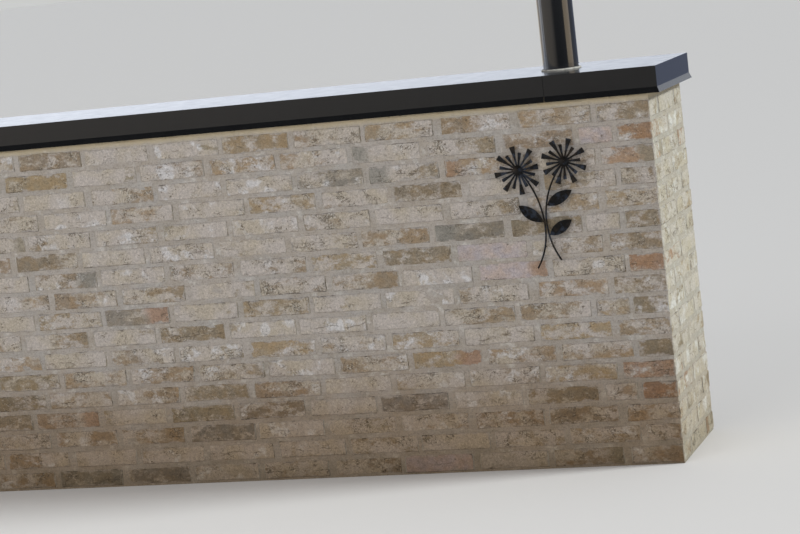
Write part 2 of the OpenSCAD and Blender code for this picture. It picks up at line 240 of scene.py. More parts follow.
wall = {
    "length": 3400, "thickness": 430,
    "brick": (210, 100, 50), "joint": 10, "courses": 18, "stretchers": 14, "bat": 155,
    "short": (5, 1),          # by how much a brick is shorter and lower than its module's brick
    "arris": 2.5,             # bevel of the edges that show
    "cell": 45,               # about how long the faces are that a brick is cut into
    "stray": (3.0, 1.0, 1.0),  # how far a brick strays along, out of and up the wall
    "tilt": 0.35,             # and how far it tilts about each axis, in degrees
    "shrink": 0.016,          # how much bricks differ in length
    "uneven": (5, 3),         # how far their outline and their faces wave
    "waves": 40,              # size of those waves
    "smoothBelow": 38,        # edges under this angle, in degrees, are shaded smooth
    "seed": 41,
    # how far the bricks from the right end on lie off the even bond, and its share by course
    "drift": (0, 3, -7, -13), "driftShare": {1: 1.0, 3: 1.0, 5: 1.0, 9: 0.5},
    "driftKept": 0.75,        # share of it that each brick further on keeps
}
brickLook = {
    # clay that shows where the pale skin is worn off, how much skin is left, and how pitted it is
    "kinds": {
        "p": ("#a09480", 0.84, 0.35), "s": ("#9c8c76", 0.70, 0.95), "m": ("#9e8c74", 0.54, 0.60),
        "o": ("#a28f73", 0.38, 0.45), "u": ("#92836d", 0.42, 0.55), "r": ("#aa917b", 0.24, 0.30),
        "k": ("#8f8678", 0.36, 0.40), "v": ("#b6a8a3", 0.16, 0.10),
        "t": ("#a4866c", 0.30, 0.35),
    },
    "mix": "ppppppmmmmmmmsssssuuovk",    # kinds of the bricks, the commoner ones more often
    "cornerMix": "uuuurtmp",             # the corners of the long faces, browner and redder
    "paleAndLitEndMix": "ppppppsssspm",            # the right end, which is paler: paler kinds, and partly painted light for the light that falls on that end
    "paleAndLitEndSkin": 0.66,                     # and the least skin that its bricks keep, which also paints that light
    "skin": "#b7ada4", "skinWarm": "#b3a796", "bloom": "#cfcccb",
    # the last three tones of the next line are painted shade: in the pits, in the folds and along the rims,
    # and in the cracks
    "fleck": "#d6d1c7", "pitShade": "#6a5d4c", "creaseShade": "#5d5244", "crackShade": "#3d352c",
    "warmer": (1.05, 0.99, 0.91), "cooler": (0.96, 0.98, 1.03),   # by which the clay drifts in a brick
    "cornerRadius": 7, "ragged": 12,     # of the outline that the mortar leaves showing, in mm
    "stray": (0.10, 0.02, 0.08),         # how much a kind varies in shade, in hue and in its skin
    # tones of the bricks that the flame flashed at one end, their share, and how far it went
    "flashes": ("#87837a", "#8f8572", "#9c7e64", "#a07f68"),
    "flashShare": 0.08, "flashReach": (0.15, 0.42),
}


def modelBrick(name, length, depth, height, cornerSide=0):
    deselectAll()
    bpy.ops.mesh.primitive_cube_add(size=1, scale=(length * mm, depth * mm, height * mm))
    brick = bpy.context.object
    brick.name = name
    bpy.ops.object.transform_apply(location=False, rotation=False, scale=True)
    halfL, halfD = length * mm / 2, depth * mm / 2

    def shows(edge):
        ends = [brick.data.vertices[i].co for i in edge.vertices]
        onFront = any(p.y < 0 for p in ends)
        onSide = cornerSide and any(p.x * cornerSide > 0 for p in ends)
        return onFront or onSide

    selectParts(brick, "edges", shows)
    bpy.ops.object.mode_set(mode="EDIT")
    bpy.ops.mesh.select_mode(type="EDGE")
    bpy.ops.mesh.bevel(offset=wall["arris"] * mm, segments=1, affect="EDGES")
    bpy.ops.object.mode_set(mode="OBJECT")

    cuts = {0: max(1, round(length / wall["cell"]) - 1), 2: 1}
    if cornerSide:
        cuts[1] = max(1, round(depth / wall["cell"]) - 1)
    for axis, number in cuts.items():
        cutAlong(brick, axis, number, wall["cell"] / 2)      # and not the bevels

    # place on the face, and half the length of the face, for the material
    mesh = brick.data
    mesh.uv_layers.remove(mesh.uv_layers[0])
    mesh.attributes.new("faceHalf", "FLOAT", "CORNER")
    mesh.uv_layers.new(name="facePlace")
    facePlace, faceHalf = mesh.uv_layers["facePlace"].data, mesh.attributes["faceHalf"].data
    for face in mesh.polygons:
        sideways = abs(face.normal.x) > max(abs(face.normal.y), abs(face.normal.z) * 0.9)
        for loop in face.loop_indices:
            point = mesh.vertices[mesh.loops[loop].vertex_index].co
            facePlace[loop].uv = (point.y if sideways else point.x, point.z)
            faceHalf[loop].value = halfD if sideways else halfL
    return brick


# centre along the face and length of each brick of a course, from the right end
def courseBricks(row):
    brickL, brickW, _ = wall["brick"]
    if row % 2:
        sizes = [wall["bat"]] + [brickL] * wall["stretchers"] + [wall["bat"]]
    elif row % 4 == 2:
        sizes = [brickW] * 2 + [brickL] * wall["stretchers"] + [brickW]
    else:
        sizes = [brickW] + [brickL] * wall["stretchers"] + [brickW] * 2
    places, edge = [], wall["length"] / 2
    for size in sizes:
        places.append((edge - size / 2, size))
        edge -= size + wall["joint"]
    return places


# clay colour with how much skin is left, seed with how pitted it is, and flash with how far it goes
def brickTone(chance, side, corner):
    mix = "paleAndLitEndMix" if side == "right" else "cornerMix" if corner else "mix"
    clay, skin, pits = brickLook["kinds"][chance.choice(brickLook[mix])]
    shadeStray, hueStray, skinStray = brickLook["stray"]
    shade = 1 + chance.uniform(-shadeStray, shadeStray)
    colour = [channel * shade * (1 + chance.uniform(-hueStray, hueStray)) for channel in linear(clay)[:3]]
    seed = [chance.random() for _ in range(3)] + [pits]
    flash, reach = chance.choice(brickLook["flashes"]), 0.0
    if side != "right" and chance.random() < brickLook["flashShare"]:
        reach = chance.choice((-1, 1)) * chance.uniform(*brickLook["flashReach"])
    return {"brickClay": colour + [skin + chance.uniform(-skinStray, skinStray)], "brickSeed": seed,
            "brickFlash": linear(flash)[:3] + [reach]}


def drift(side, row, index):
    share = wall["driftShare"].get(row, 0) if side == "front" else 0
    steps = [share * step for step in wall["drift"]]
    if index < len(steps):
        return steps[index]
    return steps[-1] * wall["driftKept"] ** (index - len(steps) + 1)


def layBricks():
    chance = random.Random(wall["seed"])
    brickL, brickW, brickH = wall["brick"]
    pitch, (shorter, lower) = brickH + wall["joint"], wall["short"]
    halfT, halfL = wall["thickness"] / 2, wall["length"] / 2
    masters = {}
    laid = {"front": [], "back": [], "right": [], "left": []}

    def master(length, depth, corner):
        key = (length, depth, corner)
        if key not in masters:
            masters[key] = modelBrick("brickMaster", length - shorter, depth, brickH - lower, corner)
        return masters[key]

    def lay(side, source, place, turnDegrees, row, index, corner=0, shown=""):
        piece = source.copy()
        piece.data = source.data.copy()
        bpy.context.scene.collection.objects.link(piece)
        stray = Vector(chance.uniform(-1, 1) * share * mm for share in wall["stray"])
        stray.x += drift(side, row, index) * mm
        if corner:                             # its end shows, so that it stays true
            stray.x = corner * shorter / 2 * mm
        tilt = [math.radians(chance.uniform(-wall["tilt"], wall["tilt"])) for _ in range(3)]
        turn = Matrix.Rotation(math.radians(turnDegrees), 4, "Z")
        wobble = Matrix.Translation(stray)
        for angle, axis in zip(tilt, "XYZ"):
            wobble @= Matrix.Rotation(angle, 4, axis)
        share = chance.uniform(-1, 1) * (0 if corner else wall["shrink"])
        wobble @= Matrix.Scale(1 + share, 4, (1, 0, 0))
        piece.data.transform(Matrix.Translation(Vector(place) * mm) @ turn @ wobble)
        count = len(piece.data.vertices)
        for name, value in brickTone(chance, shown or side, corner).items():
            layer = piece.data.color_attributes.new(name=name, type="FLOAT_COLOR", domain="POINT")
            layer.data.foreach_set("color", value * count)
        laid[side].append(piece)

    for course in range(wall["courses"]):
        row = wall["courses"] - 1 - course
        z = course * pitch + pitch / 2
        bricks = courseBricks(row)
        for face, turn in (("front", 0), ("back", 180)):
            sign = 1 if face == "front" else -1
            for index, (x, size) in enumerate(bricks):
                first, last = index == 0, index == len(bricks) - 1
                corner = (1 if first else -1) if first or last else 0
                if corner and row % 2 == 0:
                    continue      # these corner bricks are laid with the ends
                place = (sign * x, -sign * (halfT - brickW / 2), z)
                lay(face, master(size, brickW, corner), place, turn, row, index, corner)
        for face, turn in (("right", 90), ("left", -90)):
            sign = 1 if face == "right" else -1
            x = sign * (halfL - brickW / 2)
            if row % 2:
                lay(face, master(brickL, brickW, 0), (x, 0, z), turn, row, 0)
                continue
            for y in (-1, 1):
                shown = "front" if (face, y) == ("right", -1) else ""      # its header shows on the front
                place, corner = (x, y * (halfT - brickL / 2), z), y * sign
                lay(face, master(brickL, brickW, corner), place, turn, row, 0, corner, shown)
    for source in masters.values():
        bpy.data.objects.remove(source)
    return laid


# moves the vertices along each axis by a cloudy pattern, so that nothing stays ruler-straight
def roughen(piece, size, amounts, depth=2):
    pick(piece)
    for axis, amount in zip("XYZ", amounts):
        texture = bpy.data.textures.new("uneven" + axis, "CLOUDS")
        texture.noise_scale = size * mm * {"X": 1.0, "Y": 1.17, "Z": 0.89}[axis]
        texture.noise_depth = depth
        made = piece.modifiers.new("uneven" + axis, "DISPLACE")
        made.texture, made.texture_coords, made.direction = texture, "LOCAL", axis
        made.strength, made.mid_level = amount * mm, 0.5
        bpy.ops.object.modifier_apply(modifier=made.name)


def nodeOf(side):
    return side + ("_brickwork" if side in ("front", "back") else "_end_brickwork")


def finishPiece(piece, name, material, node):
    piece.name = piece.data.name = name
    piece.data.materials.clear()
    piece.data.materials.append(material)
    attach(piece, "root")
    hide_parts(node)


def joinBricks(laid, material):
    for side, pieces in laid.items():
        deselectAll()
        for piece in pieces:
            piece.select_set(True)
        bpy.context.view_layer.objects.active = pieces[0]
        bpy.ops.object.join()
        piece = bpy.context.object
        outline, face = wall["uneven"]
        amounts = (outline, face, outline) if side in ("front", "back") else (face, outline, outline)
        roughen(piece, wall["waves"], amounts)
        pick(piece)
        bpy.ops.object.shade_smooth_by_angle(angle=math.radians(wall["smoothBelow"]))
        finishPiece(piece, "bricks" + side.capitalize(), material, nodeOf(side))


mortar = {
    "depth": 1.6,             # how far the mortar lies behind the brick faces
    "topGap": 1,              # how far it ends below the top of the bricks
    "cell": 15,               # size of the faces of its mesh
    "hiddenCell": 50,         # and of those across its depth, which the bricks hide
    "uneven": 1.5,            # how far it waves; where it waves forward it laps the brick edges
    "waves": 45,              # size of those waves
    "smoothBelow": 60,        # edges under this angle, in degrees, are shaded smooth
    "paste": "#aba299", "sand": "#a3988b", "stain": "#7f7567", "lime": "#c4bfb7",
    "cool": (0.96, 0.99, 1.02),
}


def layMortar(material):
    depth = mortar["depth"] * mm
    for side in ("front", "back", "right", "left"):
        low, high = (corner.copy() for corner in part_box(nodeOf(side)))
        outer = wall["length"] * mm / 2 - depth, wall["thickness"] * mm / 2 - depth
        for axis in (0, 1):
            low[axis], high[axis] = max(low[axis], -outer[axis]), min(high[axis], outer[axis])
        high.z -= mortar["topGap"] * mm
        size = high - low
        deselectAll()
        bpy.ops.mesh.primitive_cube_add(size=1, location=(low + high) / 2, scale=size)
        piece = bpy.context.object
        bpy.ops.object.transform_apply(location=True, rotation=False, scale=True)
        for axis in (0, 1, 2):
            isDepth = size[axis] < wall["brick"][1] * mm
            cell = mortar["hiddenCell" if isDepth else "cell"] * mm
            cutAlong(piece, axis, max(1, round(size[axis] / cell) - 1))
        roughen(piece, mortar["waves"], [mortar["uneven"]] * 3, depth=3)
        for vertex in piece.data.vertices:
            vertex.co.z = max(vertex.co.z, 0)      # it stays level with the ground
        pick(piece)
        bpy.ops.object.shade_smooth_by_angle(angle=math.radians(mortar["smoothBelow"]))
        finishPiece(piece, "mortar" + side.capitalize(), material, nodeOf(side))


sealant = {
    "bead": 4.5,              # radius of the bead round a post
    "uneven": 4.0,            # how far it waves
    "waves": 9,               # size of those waves
    "keptInside": 1.1,        # its distance from the rim of the collar, in beads
}


def runSealant(material):
    for side in ("right", "left"):
        low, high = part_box(side + "_sealant")
        centre, bead = (low + high) / 2, sealant["bead"] * mm
        deselectAll()
        bpy.ops.mesh.primitive_torus_add(
            location=(centre.x, centre.y, low.z), minor_radius=bead, major_segments=144, minor_segments=12,
            major_radius=(high.x - low.x) / 2 - sealant["keptInside"] * bead)
        piece = bpy.context.object
        bpy.ops.object.transform_apply(location=True, rotation=False, scale=False)
        roughen(piece, sealant["waves"], (sealant["uneven"], sealant["uneven"], sealant["uneven"] / 2))
        for vertex in piece.data.vertices:
            vertex.co.z = max(vertex.co.z, low.z)
        pick(piece)
        bpy.ops.object.shade_smooth()
        finishPiece(piece, "sealant" + side.capitalize(), material, side + "_sealant")


weatherLook = {
    "dampAndShade": "#d1c3b1", "soakedAndShaded": "#e9e8e2",      # what these leave of the colour: darker towards the ground, from rising dampness and partly painted shade of the plants and grass at the wall's foot
    "dampAndShadeOnEnds": 0.35,         # share of that on the two ends, which dry out more and get none of the painted plant shade
    "endLightTint": "#f7f9ef",     # what a painted tint for the warm light on the two ends leaves of their colour
    # lichens under the coping, drawn pale: partly painted light that lifts the shade of the coping
    "lichenAndPaintedLight": "#c6b592",
}


# one on the two ends of the wall, and zero on its long faces
def onEnds(tree):
    facing = addNode(tree, "VectorMath", {0: addNode(tree, "NewGeometry").outputs["Normal"]},
                     operation="ABSOLUTE")
    parts = addNode(tree, "SeparateXYZ", {0: facing})
    return addNode(tree, "MapRange", {"Value": parts.outputs["X"], "From Min": 0.4, "From Max": 0.8})


# the colour, darker towards the ground from rising dampness and partly from painted shade of the plants and
# grass at the wall's foot, and with lichens in the drip line under the coping, drawn pale to lift the
# coping's shade there
def weathered(tree, colour, place):
    height = addNode(tree, "SeparateXYZ", {0: place})
    ragged = addNode(tree, "TexNoise", {"Vector": place, "Scale": 1 / 0.09, "Detail": 4.0, "Roughness": 0.6})
    shifted = addNode(tree, "Math", {0: ragged, 1: 0.16, 2: height.outputs["Z"]}, operation="MULTIPLY_ADD")
    # darker towards the ground: rising dampness, and partly painted shade of the plants in front of the wall
    dampAndShade = addNode(tree, "MapRange", {"Value": shifted, "From Min": 0.52, "From Max": 0.20},
                   interpolation_type="SMOOTHSTEP")
    ends = onEnds(tree)
    # the two ends get a painted tint, for the warm light that falls on them
    endLightTinted = addNode(tree, "Mix", {0: ends, 6: colour, 7: linear(weatherLook["endLightTint"])},
                    data_type="RGBA", blend_type="MULTIPLY")
    share = addNode(tree, "Math", {0: ends, 1: weatherLook["dampAndShadeOnEnds"] - 1, 2: 1.0},
                    operation="MULTIPLY_ADD")
    dampAndShadeHere = addNode(tree, "Math", {0: dampAndShade, 1: share}, operation="MULTIPLY")
    dampedAndShaded = addNode(tree, "Mix", {0: dampAndShadeHere, 6: endLightTinted.outputs[2], 7: linear(weatherLook["dampAndShade"])},
                     data_type="RGBA", blend_type="MULTIPLY")
    # darker still at the foot: partly painted shade of the grass
    foot = addNode(tree, "MapRange", {"Value": shifted, "From Min": 0.17, "From Max": 0.10})
    soakedAndShaded = addNode(tree, "Mix", {0: foot, 6: dampedAndShaded.outputs[2], 7: linear(weatherLook["soakedAndShaded"])},
                     data_type="RGBA", blend_type="MULTIPLY")
    # lichens in the drip line under the coping, drawn pale: partly painted light that lifts the shade that
    # the coping casts there
    edge = addNode(tree, "TexNoise", {"Vector": place, "Scale": 1 / 0.02, "Detail": 4.0, "Roughness": 0.7})
    crept = addNode(tree, "Math", {0: edge, 1: 0.016, 2: height.outputs["Z"]}, operation="MULTIPLY_ADD")
    high = addNode(tree, "MapRange", {
        "Value": crept, "From Min": 1.0160, "From Max": 1.0350, "To Max": 0.75},
        interpolation_type="SMOOTHSTEP")
    withLichenAndLight = addNode(tree, "Mix", {0: high, 6: soakedAndShaded.outputs[2], 7: linear(weatherLook["lichenAndPaintedLight"])},
                    data_type="RGBA")
    return withLichenAndLight.outputs[2]


# distance in metres to the rim of the brick: a rectangle with round corners, made ragged
def toRim(tree, uv, own, half):
    corner, ragged = brickLook["cornerRadius"] * mm, brickLook["ragged"] * mm
    bedHalf = (wall["brick"][2] - wall["short"][1]) / 2 * mm
    rag = addNode(tree, "TexNoise", {"Vector": own, "Scale": 1 / 0.022, "Detail": 4.0, "Roughness": 0.68})
    ragOff = addNode(tree, "VectorMath", {0: rag.outputs["Color"], 1: (0.5, 0.5, 0.5)}, operation="SUBTRACT")
    bent = addNode(tree, "VectorMath", {0: ragOff, 1: (ragged, ragged, 0.0), 2: uv},
                   operation="MULTIPLY_ADD")
    reach = addNode(tree, "VectorMath", {0: bent}, operation="ABSOLUTE")
    straight = addNode(tree, "Math", {0: half.outputs["Fac"], 1: corner}, operation="SUBTRACT")
    inner = addNode(tree, "CombineXYZ", {"X": straight, "Y": bedHalf - corner})
    past = addNode(tree, "VectorMath", {0: reach, 1: inner}, operation="SUBTRACT")
    pastParts = addNode(tree, "SeparateXYZ", {0: past})
    nearest = addNode(tree, "Math", {0: pastParts.outputs["X"], 1: pastParts.outputs["Y"]},
                      operation="MAXIMUM")
    within = addNode(tree, "Math", {0: nearest, 1: 0.0}, operation="MINIMUM")
    outward = addNode(tree, "VectorMath", {0: past, 1: (0.0, 0.0, 0.0)}, operation="MAXIMUM")
    beyond = addNode(tree, "VectorMath", {0: outward}, operation="LENGTH")
    edge = addNode(tree, "Math", {0: within, 1: beyond.outputs["Value"]}, operation="ADD")
    return addNode(tree, "Math", {0: corner, 1: edge}, operation="SUBTRACT")


# where the flame flashed one end of a brick, and the tone that it has there
def flamed(tree, alongBrick, patch):
    flash = addNode(tree, "Attribute", attribute_name="brickFlash")
    side = addNode(tree, "Math", {0: flash.outputs["Alpha"]}, operation="SIGN")
    toEnd = addNode(tree, "Math", {0: alongBrick, 1: side}, operation="MULTIPLY")
    reach = addNode(tree, "Math", {0: flash.outputs["Alpha"]}, operation="ABSOLUTE")
    start = addNode(tree, "Math", {0: reach, 1: 2.0, 2: -1.0}, operation="MULTIPLY_ADD")
    field = addNode(tree, "Math", {0: toEnd, 1: start}, operation="ADD")
    ragged = addNode(tree, "Math", {0: patch, 1: 0.9, 2: field}, operation="MULTIPLY_ADD")
    edge = addNode(tree, "MapRange", {
        "Value": ragged, "From Min": 0.38, "From Max": 0.68, "To Max": 0.8})
    flashed = addNode(tree, "Math", {0: reach, 1: 0.01}, operation="GREATER_THAN")
    mask = addNode(tree, "Math", {0: edge, 1: flashed}, operation="MULTIPLY")
    return mask, flash.outputs["Color"]


# a fold of clay from the throw into the mould: a thin line, painted shade in the fold, that wanders along
# some bricks
def clayFold(tree, own, across, chance, cluster):
    level = addNode(tree, "Mapping", {"Vector": own, "Scale": (1 / 0.075, 0.0, 1.0)})
    wander = addNode(tree, "TexNoise", {"Vector": level, "Scale": 1.0, "Detail": 4.0, "Roughness": 0.52})
    height = addNode(tree, "Math", {0: wander, 1: 0.06, 2: -0.034}, operation="MULTIPLY_ADD")
    off = addNode(tree, "Math", {0: across.outputs["Y"], 1: height}, operation="SUBTRACT")
    near = addNode(tree, "Math", {0: off}, operation="ABSOLUTE")
    line = addNode(tree, "MapRange", {"Value": near, "From Min": 0.0016, "From Max": 0.0005})
    some = addNode(tree, "MapRange", {"Value": chance.outputs["Z"], "From Min": 0.5, "From Max": 0.8})
    part = addNode(tree, "MapRange", {
        "Value": cluster, "From Min": 0.45, "From Max": 0.60, "To Max": 0.6})
    here = addNode(tree, "Math", {0: some, 1: part}, operation="MULTIPLY")
    return addNode(tree, "Math", {0: line, 1: here}, operation="MULTIPLY")


def mouldedBrick():
    # Stock brick, thrown by hand into a sanded mould and fired: buff clay under a pale skin of lime
    # and sand that is worn in soft patches, with pits and folds of clay whose shade is painted dark, and
    # edges lapped by mortar.
    material, tree, place = newMaterial("hand-moulded stock brick")
    uv = addNode(tree, "UVMap", uv_map="facePlace")
    seed = addNode(tree, "Attribute", attribute_name="brickSeed")
    clay = addNode(tree, "Attribute", attribute_name="brickClay")
    half = addNode(tree, "Attribute", attribute_name="faceHalf")
    chance = addNode(tree, "SeparateXYZ", {0: seed.outputs["Color"]})
    # each brick lies at its own place in the patterns
    apart = addNode(tree, "VectorMath", {0: seed.outputs["Color"], 1: (9.0, 9.0, 9.0)}, operation="MULTIPLY")
    own = addNode(tree, "VectorMath", {0: uv, 1: apart}, operation="ADD")
    rim = toRim(tree, uv, own, half)

    # sand grain, drawn 5.5 mm coarse so that it shows from this far, and upright marks of the mould
    fine = addNode(tree, "TexNoise", {"Vector": own, "Scale": 1 / 0.0055, "Detail": 4.0, "Roughness": 0.72,
                                      "Distortion": 0.8})
    streakPlace = addNode(tree, "Mapping", {"Vector": own, "Scale": (1 / 0.0050, 1 / 0.028, 1.0)})
    streak = addNode(tree, "TexNoise", {"Vector": streakPlace, "Scale": 1.0, "Detail": 2.0,
                                        "Roughness": 0.6})
    streakShade = addNode(tree, "Math", {0: streak, 1: 0.24, 2: 0.88}, operation="MULTIPLY_ADD")
    fineShade = addNode(tree, "Math", {0: fine, 1: 1.60, 2: -0.80}, operation="MULTIPLY_ADD")
    shade = addNode(tree, "Math", {0: streakShade, 1: fineShade}, operation="ADD")

    # pale skin over the clay, worn off in soft patches that are longer than high
    patchPlace = addNode(tree, "Mapping", {"Vector": own, "Scale": (1 / 0.054, 1 / 0.034, 1.0)})
    patch = addNode(tree, "TexNoise", {"Vector": patchPlace, "Scale": 1.0, "Detail": 6.0, "Roughness": 0.70})
    across = addNode(tree, "SeparateXYZ", {0: uv})
    alongBrick = addNode(tree, "Math", {0: across.outputs["X"], 1: half.outputs["Fac"]}, operation="DIVIDE")
    lean = addNode(tree, "Math", {0: chance.outputs["Y"], 1: 0.5}, operation="SUBTRACT")
    leaning = addNode(tree, "Math", {0: lean, 1: alongBrick}, operation="MULTIPLY")
    # the ends keep more of the pale skin: partly painted light for the light that falls on them
    atLeast = addNode(tree, "Math", {0: clay.outputs["Alpha"], 1: brickLook["paleAndLitEndSkin"]}, operation="MAXIMUM")
    skinLeft = addNode(tree, "Mix", {0: onEnds(tree), 2: clay.outputs["Alpha"], 3: atLeast})
    even = addNode(tree, "Math", {0: skinLeft, 1: 0.42, 2: -0.21}, operation="MULTIPLY_ADD")
    keep = addNode(tree, "Math", {0: leaning, 1: 0.22, 2: even}, operation="MULTIPLY_ADD")
    skinField = addNode(tree, "Math", {0: patch, 1: keep}, operation="ADD")
    skinGrain = addNode(tree, "Math", {0: fine, 1: 0.12, 2: skinField}, operation="MULTIPLY_ADD")
    skinMask = addNode(tree, "MapRange", {"Value": skinGrain, "From Min": 0.47, "From Max": 0.64},
                       interpolation_type="SMOOTHSTEP")
    warmNoise = addNode(tree, "TexNoise", {"Vector": own, "Scale": 1 / 0.08, "Detail": 2.0})
    warmAt = addNode(tree, "MapRange", {"Value": warmNoise, "From Min": 0.40, "From Max": 0.64})
    skin = addNode(tree, "Mix", {0: warmAt, 6: linear(brickLook["skin"]), 7: linear(brickLook["skinWarm"])},
                   data_type="RGBA")
    clayDeep = addNode(tree, "MapRange", {
        "Value": skinField, "From Min": 0.30, "From Max": 0.55, "To Min": 0.84, "To Max": 1.04})
    driftNoise = addNode(tree, "TexNoise", {"Vector": own, "Scale": 1 / 0.033, "Detail": 3.0})
    driftAt = addNode(tree, "MapRange", {"Value": driftNoise, "From Min": 0.38, "From Max": 0.62})
    drifting = addNode(tree, "Mix", {0: driftAt, 4: brickLook["warmer"], 5: brickLook["cooler"]},
                       data_type="VECTOR")
    drifted = addNode(tree, "VectorMath", {0: clay.outputs["Color"], 1: drifting.outputs[1]},
                      operation="MULTIPLY")
    clayShade = addNode(tree, "VectorMath", {0: drifted, "Scale": clayDeep}, operation="SCALE")

    # lime that bloomed white on the skin of some bricks, and the flash over both
    whiteNoise = addNode(tree, "TexNoise", {"Vector": own, "Scale": 1 / 0.05, "Detail": 4.0,
                                            "Roughness": 0.6})
    whiteSome = addNode(tree, "MapRange", {"Value": chance.outputs["X"], "From Min": 0.4, "From Max": 0.7})
    whiteSpot = addNode(tree, "MapRange", {
        "Value": whiteNoise, "From Min": 0.53, "From Max": 0.64, "To Max": 0.75},
        interpolation_type="SMOOTHSTEP")
    whiteAt = addNode(tree, "Math", {0: whiteSome, 1: whiteSpot}, operation="MULTIPLY")
    limed = addNode(tree, "Mix", {0: whiteAt, 6: skin.outputs[2], 7: linear(brickLook["bloom"])},
                    data_type="RGBA")
    worn = addNode(tree, "Mix", {0: skinMask, 6: clayShade, 7: limed.outputs[2]}, data_type="RGBA")
    flashMask, flashTone = flamed(tree, alongBrick, patch)
    body = addNode(tree, "Mix", {0: flashMask, 6: worn.outputs[2], 7: flashTone}, data_type="RGBA")

    # thin layers that show along the over-fired grey bricks
    layerPlace = addNode(tree, "Mapping", {"Vector": own, "Scale": (1 / 0.070, 1 / 0.0032, 1.0)})
    layer = addNode(tree, "TexNoise", {"Vector": layerPlace, "Scale": 1.0, "Detail": 2.0, "Roughness": 0.6})
    layerPart = addNode(tree, "MapRange", {
        "Value": clay.outputs["Alpha"], "From Min": 0.18, "From Max": 0.08, "To Max": 0.55})
    layerShade = addNode(tree, "MapRange", {
        "Value": layer, "From Min": 0.35, "From Max": 0.65, "To Min": 0.80, "To Max": 1.10})
    layered = addNode(tree, "VectorMath", {0: body.outputs[2], "Scale": layerShade}, operation="SCALE")
    body = addNode(tree, "Mix", {0: layerPart, 6: body.outputs[2], 7: layered}, data_type="RGBA")

    # pits, whose shade is painted as dark specks, and crumbs of lime, in clusters, and the folds
    cluster = addNode(tree, "TexNoise", {"Vector": own, "Scale": 1 / 0.040, "Detail": 2.0,
                                         "Distortion": 0.6})
    often = addNode(tree, "Math", {0: seed.outputs["Alpha"], 1: 0.14, 2: cluster}, operation="MULTIPLY_ADD")
    speckNoise = addNode(tree, "TexNoise", {"Vector": own, "Scale": 1 / 0.0056, "Detail": 3.5,
                                            "Roughness": 0.62, "Distortion": 1.2})
    speckField = addNode(tree, "Math", {0: often, 1: 0.60, 2: speckNoise}, operation="MULTIPLY_ADD")
    pitShadeMask = addNode(tree, "MapRange", {
        "Value": speckField, "From Min": 0.96, "From Max": 1.07, "To Max": 0.85},
        interpolation_type="SMOOTHSTEP")
    fleckNoise = addNode(tree, "TexNoise", {"Vector": own, "Scale": 1 / 0.0044, "Detail": 3.0,
                                            "Roughness": 0.6, "Distortion": 1.0})
    fleckField = addNode(tree, "Math", {0: often, 1: 0.50, 2: fleckNoise}, operation="MULTIPLY_ADD")
    fleckMask = addNode(tree, "MapRange", {
        "Value": fleckField, "From Min": 0.95, "From Max": 1.03, "To Max": 0.65},
        interpolation_type="SMOOTHSTEP")

    foldShadeMask = clayFold(tree, own, across, chance, cluster)
    # the dark specks and fold lines are painted shade in the pits and folds; the pale flecks are crumbs of
    # lime
    for mask, tone in ((pitShadeMask, "pitShade"), (fleckMask, "fleck"), (foldShadeMask, "creaseShade")):
        body = addNode(tree, "Mix", {0: mask, 6: body.outputs[2], 7: linear(brickLook[tone])},
                       data_type="RGBA")
    shaded = addNode(tree, "VectorMath", {0: body.outputs[2], "Scale": shade}, operation="SCALE")

    # a darker line along parts of the rim: painted shade at the brick's edge
    along = addNode(tree, "TexNoise", {"Vector": own, "Scale": 1 / 0.022, "Detail": 4.0, "Roughness": 0.7})
    rimShadeIn = addNode(tree, "MapRange", {"Value": rim, "From Min": 0.0004, "From Max": 0.0014})
    rimShadeOut = addNode(tree, "MapRange", {"Value": rim, "From Min": 0.0042, "From Max": 0.0022})
    rimShadePart = addNode(tree, "MapRange", {
        "Value": along, "From Min": 0.46, "From Max": 0.60, "To Max": 0.50})
    rimShadeLine = addNode(tree, "Math", {0: rimShadeIn, 1: rimShadeOut}, operation="MULTIPLY")
    rimShadeMask = addNode(tree, "Math", {0: rimShadeLine, 1: rimShadePart}, operation="MULTIPLY")
    rimShaded = addNode(tree, "Mix", {0: rimShadeMask, 6: shaded, 7: linear(brickLook["creaseShade"])},
                       data_type="RGBA")

    # the mason's mortar, lapped over the rims and rubbed flat
    lapNoise = addNode(tree, "TexNoise", {"Vector": own, "Scale": 1 / 0.046, "Detail": 5.0,
                                          "Roughness": 0.65})
    lapped = addNode(tree, "Math", {0: lapNoise, 1: -0.050, 2: rim}, operation="MULTIPLY_ADD")
    lap = addNode(tree, "MapRange", {"Value": lapped, "From Min": -0.0195, "From Max": -0.0268},
                  interpolation_type="SMOOTHSTEP")
    pasteTone = linear(mortar["paste"])[:3]
    paste = addNode(tree, "VectorMath", {0: pasteTone, "Scale": fineShade}, operation="SCALE")
    pasteLight = addNode(tree, "VectorMath", {0: paste, 1: pasteTone}, operation="ADD")
    smeared = addNode(tree, "Mix", {0: lap, 6: rimShaded.outputs[2], 7: pasteLight}, data_type="RGBA")

    # shrinkage cracks where the mortar let go of the brick, drawn as a dark line of painted shade in the gap
    crackAt = addNode(tree, "Math", {0: rim, 1: 0.0012}, operation="SUBTRACT")
    crackNear = addNode(tree, "Math", {0: crackAt}, operation="ABSOLUTE")
    crackShadeLine = addNode(tree, "MapRange", {"Value": crackNear, "From Min": 0.0013, "From Max": 0.0004})
    crackShadePart = addNode(tree, "MapRange", {
        "Value": cluster, "From Min": 0.57, "From Max": 0.65, "To Max": 0.60})
    crackShadeMask = addNode(tree, "Math", {0: crackShadeLine, 1: crackShadePart}, operation="MULTIPLY")
    crackShaded = addNode(tree, "Mix", {0: crackShadeMask, 6: smeared.outputs[2], 7: linear(brickLook["crackShade"])},
                      data_type="RGBA")

